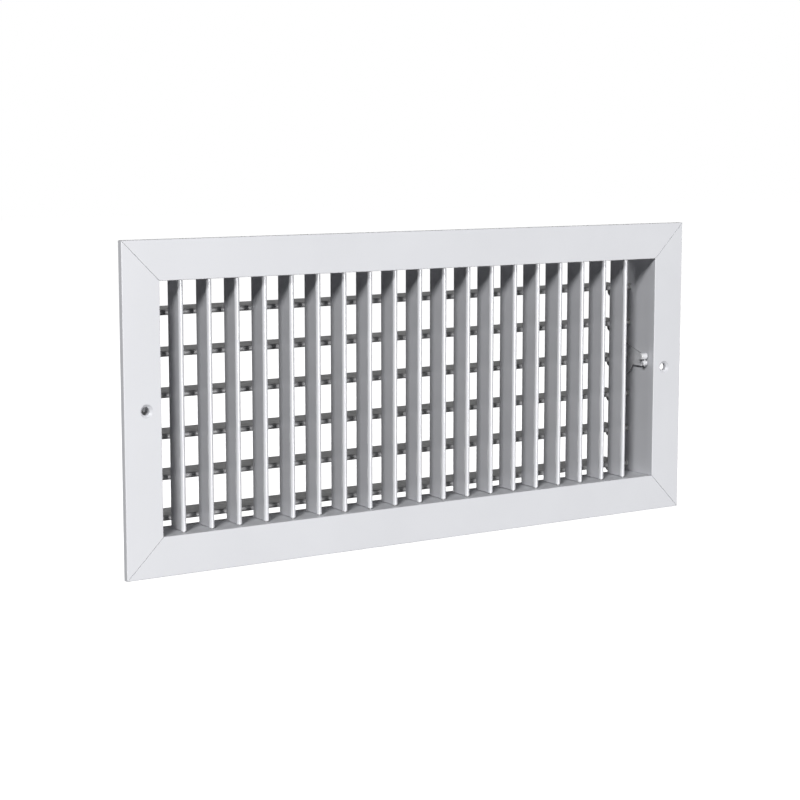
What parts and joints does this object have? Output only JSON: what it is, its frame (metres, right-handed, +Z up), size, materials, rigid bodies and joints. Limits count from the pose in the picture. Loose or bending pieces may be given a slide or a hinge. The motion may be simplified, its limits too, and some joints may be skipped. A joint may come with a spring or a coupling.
{
  "type": "supply air register",
  "caption": "Rectangular wall register with a mitred frame, upright adjustable front blades and a lever-worked multi-blade damper behind them.",
  "frame": {"origin": "on the wall plane that the frame's lip rests on, midway between the two screw holes", "axes": "+X to the right as seen from the room, +Y into the duct, +Z up"},
  "size_m": [0.4294, 0.0523, 0.2002],
  "materials": {
    "frame_enamel": "white satin powder coat on extruded aluminium",
    "blade_enamel": "white satin powder coat on extruded aluminium",
    "damper_enamel": "grey-white satin coat on formed aluminium",
    "lever_enamel": "white satin coat on pressed steel",
    "pin_steel": "zinc-plated steel",
    "bushing_nylon": "natural white nylon"
  },
  "bodies": {
    "register_frame": {"frame_top": "frame_enamel", "frame_bottom": "frame_enamel", "frame_left": "frame_enamel", "frame_right": "frame_enamel", "corner_keys": "pin_steel", "front_pivot_bushings": "bushing_nylon", "damper_rail_left": "damper_enamel", "damper_rail_right": "damper_enamel", "rail_rivets": "frame_enamel", "damper_pivot_bushings": "bushing_nylon"},
    "front_blade_01_body": {"front_blade_01": "blade_enamel", "front_blade_pins_01": "pin_steel"},
    "front_blade_02_body": {"front_blade_02": "blade_enamel", "front_blade_pins_02": "pin_steel"},
    "front_blade_03_body": {"front_blade_03": "blade_enamel", "front_blade_pins_03": "pin_steel"},
    "front_blade_04_body": {"front_blade_04": "blade_enamel", "front_blade_pins_04": "pin_steel"},
    "front_blade_05_body": {"front_blade_05": "blade_enamel", "front_blade_pins_05": "pin_steel"},
    "front_blade_06_body": {"front_blade_06": "blade_enamel", "front_blade_pins_06": "pin_steel"},
    "front_blade_07_body": {"front_blade_07": "blade_enamel", "front_blade_pins_07": "pin_steel"},
    "front_blade_08_body": {"front_blade_08": "blade_enamel", "front_blade_pins_08": "pin_steel"},
    "front_blade_09_body": {"front_blade_09": "blade_enamel", "front_blade_pins_09": "pin_steel"},
    "front_blade_10_body": {"front_blade_10": "blade_enamel", "front_blade_pins_10": "pin_steel"},
    "front_blade_11_body": {"front_blade_11": "blade_enamel", "front_blade_pins_11": "pin_steel"},
    "front_blade_12_body": {"front_blade_12": "blade_enamel", "front_blade_pins_12": "pin_steel"},
    "front_blade_13_body": {"front_blade_13": "blade_enamel", "front_blade_pins_13": "pin_steel"},
    "front_blade_14_body": {"front_blade_14": "blade_enamel", "front_blade_pins_14": "pin_steel"},
    "front_blade_15_body": {"front_blade_15": "blade_enamel", "front_blade_pins_15": "pin_steel"},
    "front_blade_16_body": {"front_blade_16": "blade_enamel", "front_blade_pins_16": "pin_steel"},
    "front_blade_17_body": {"front_blade_17": "blade_enamel", "front_blade_pins_17": "pin_steel"},
    "front_blade_18_body": {"front_blade_18": "blade_enamel", "front_blade_pins_18": "pin_steel"},
    "front_blade_19_body": {"front_blade_19": "blade_enamel", "front_blade_pins_19": "pin_steel"},
    "damper_blade_1_body": {"damper_blade_1": "damper_enamel"},
    "damper_blade_2_body": {"damper_blade_2": "damper_enamel"},
    "damper_blade_3_body": {"damper_blade_3": "damper_enamel", "damper_lever": "lever_enamel", "lever_rivets": "pin_steel"},
    "damper_blade_4_body": {"damper_blade_4": "damper_enamel"},
    "damper_blade_5_body": {"damper_blade_5": "damper_enamel"},
    "damper_blade_6_body": {"damper_blade_6": "damper_enamel"},
    "link_bar_body": {"link_bar": "damper_enamel", "link_rivets": "pin_steel"}
  },
  "joints": [
    {"name": "front_blade_01_turn", "type": "hinge", "parent": "register_frame", "child": "front_blade_01_body", "pos_m": [-0.17365, 0.0031, 0], "axis": [0, 0, 1], "range_deg": [-40, 40]},
    {"name": "front_blade_02_turn", "type": "hinge", "parent": "register_frame", "child": "front_blade_02_body", "pos_m": [-0.1546, 0.0031, 0], "axis": [0, 0, 1], "range_deg": [-40, 40]},
    {"name": "front_blade_03_turn", "type": "hinge", "parent": "register_frame", "child": "front_blade_03_body", "pos_m": [-0.13555, 0.0031, 0], "axis": [0, 0, 1], "range_deg": [-40, 40]},
    {"name": "front_blade_04_turn", "type": "hinge", "parent": "register_frame", "child": "front_blade_04_body", "pos_m": [-0.1165, 0.0031, 0], "axis": [0, 0, 1], "range_deg": [-40, 40]},
    {"name": "front_blade_05_turn", "type": "hinge", "parent": "register_frame", "child": "front_blade_05_body", "pos_m": [-0.09745, 0.0031, 0], "axis": [0, 0, 1], "range_deg": [-40, 40]},
    {"name": "front_blade_06_turn", "type": "hinge", "parent": "register_frame", "child": "front_blade_06_body", "pos_m": [-0.0784, 0.0031, 0], "axis": [0, 0, 1], "range_deg": [-40, 40]},
    {"name": "front_blade_07_turn", "type": "hinge", "parent": "register_frame", "child": "front_blade_07_body", "pos_m": [-0.05935, 0.0031, 0], "axis": [0, 0, 1], "range_deg": [-40, 40]},
    {"name": "front_blade_08_turn", "type": "hinge", "parent": "register_frame", "child": "front_blade_08_body", "pos_m": [-0.0403, 0.0031, 0], "axis": [0, 0, 1], "range_deg": [-40, 40]},
    {"name": "front_blade_09_turn", "type": "hinge", "parent": "register_frame", "child": "front_blade_09_body", "pos_m": [-0.02125, 0.0031, 0], "axis": [0, 0, 1], "range_deg": [-40, 40]},
    {"name": "front_blade_10_turn", "type": "hinge", "parent": "register_frame", "child": "front_blade_10_body", "pos_m": [-0.0022, 0.0031, 0], "axis": [0, 0, 1], "range_deg": [-40, 40]},
    {"name": "front_blade_11_turn", "type": "hinge", "parent": "register_frame", "child": "front_blade_11_body", "pos_m": [0.01685, 0.0031, 0], "axis": [0, 0, 1], "range_deg": [-40, 40]},
    {"name": "front_blade_12_turn", "type": "hinge", "parent": "register_frame", "child": "front_blade_12_body", "pos_m": [0.0359, 0.0031, 0], "axis": [0, 0, 1], "range_deg": [-40, 40]},
    {"name": "front_blade_13_turn", "type": "hinge", "parent": "register_frame", "child": "front_blade_13_body", "pos_m": [0.05495, 0.0031, 0], "axis": [0, 0, 1], "range_deg": [-40, 40]},
    {"name": "front_blade_14_turn", "type": "hinge", "parent": "register_frame", "child": "front_blade_14_body", "pos_m": [0.074, 0.0031, 0], "axis": [0, 0, 1], "range_deg": [-40, 40]},
    {"name": "front_blade_15_turn", "type": "hinge", "parent": "register_frame", "child": "front_blade_15_body", "pos_m": [0.09305, 0.0031, 0], "axis": [0, 0, 1], "range_deg": [-40, 40]},
    {"name": "front_blade_16_turn", "type": "hinge", "parent": "register_frame", "child": "front_blade_16_body", "pos_m": [0.1121, 0.0031, 0], "axis": [0, 0, 1], "range_deg": [-40, 40]},
    {"name": "front_blade_17_turn", "type": "hinge", "parent": "register_frame", "child": "front_blade_17_body", "pos_m": [0.13115, 0.0031, 0], "axis": [0, 0, 1], "range_deg": [-40, 40]},
    {"name": "front_blade_18_turn", "type": "hinge", "parent": "register_frame", "child": "front_blade_18_body", "pos_m": [0.1502, 0.0031, 0], "axis": [0, 0, 1], "range_deg": [-40, 40]},
    {"name": "front_blade_19_turn", "type": "hinge", "parent": "register_frame", "child": "front_blade_19_body", "pos_m": [0.16925, 0.0031, 0], "axis": [0, 0, 1], "range_deg": [-40, 40]},
    {"name": "damper_blade_1_turn", "type": "hinge", "parent": "register_frame", "child": "damper_blade_1_body", "pos_m": [0, 0.02385, 0.05475], "axis": [1, 0, 0], "range_deg": [0, 75]},
    {"name": "damper_blade_2_turn", "type": "hinge", "parent": "register_frame", "child": "damper_blade_2_body", "pos_m": [0, 0.02385, 0.0297], "axis": [1, 0, 0], "range_deg": [0, 75]},
    {"name": "damper_lever_turn", "type": "hinge", "parent": "register_frame", "child": "damper_blade_3_body", "pos_m": [0, 0.02385, 0.00465], "axis": [1, 0, 0], "range_deg": [0, 75]},
    {"name": "damper_blade_4_turn", "type": "hinge", "parent": "register_frame", "child": "damper_blade_4_body", "pos_m": [0, 0.02385, -0.0204], "axis": [1, 0, 0], "range_deg": [0, 75]},
    {"name": "damper_blade_5_turn", "type": "hinge", "parent": "register_frame", "child": "damper_blade_5_body", "pos_m": [0, 0.02385, -0.04545], "axis": [1, 0, 0], "range_deg": [0, 75]},
    {"name": "damper_blade_6_turn", "type": "hinge", "parent": "register_frame", "child": "damper_blade_6_body", "pos_m": [0, 0.02385, -0.0705], "axis": [1, 0, 0], "range_deg": [0, 75]},
    {"name": "link_bar_turn", "type": "hinge", "parent": "damper_blade_3_body", "child": "link_bar_body", "pos_m": [0, 0.03785, 0.00045], "axis": [1, 0, 0], "range_deg": [-75, 0]}
  ],
  "couplings": [
    {"joint": "damper_blade_1_turn", "follows": "damper_lever_turn", "ratio": 1},
    {"joint": "damper_blade_2_turn", "follows": "damper_lever_turn", "ratio": 1},
    {"joint": "damper_blade_4_turn", "follows": "damper_lever_turn", "ratio": 1},
    {"joint": "damper_blade_5_turn", "follows": "damper_lever_turn", "ratio": 1},
    {"joint": "damper_blade_6_turn", "follows": "damper_lever_turn", "ratio": 1},
    {"joint": "link_bar_turn", "follows": "damper_lever_turn", "ratio": -1}
  ]
}
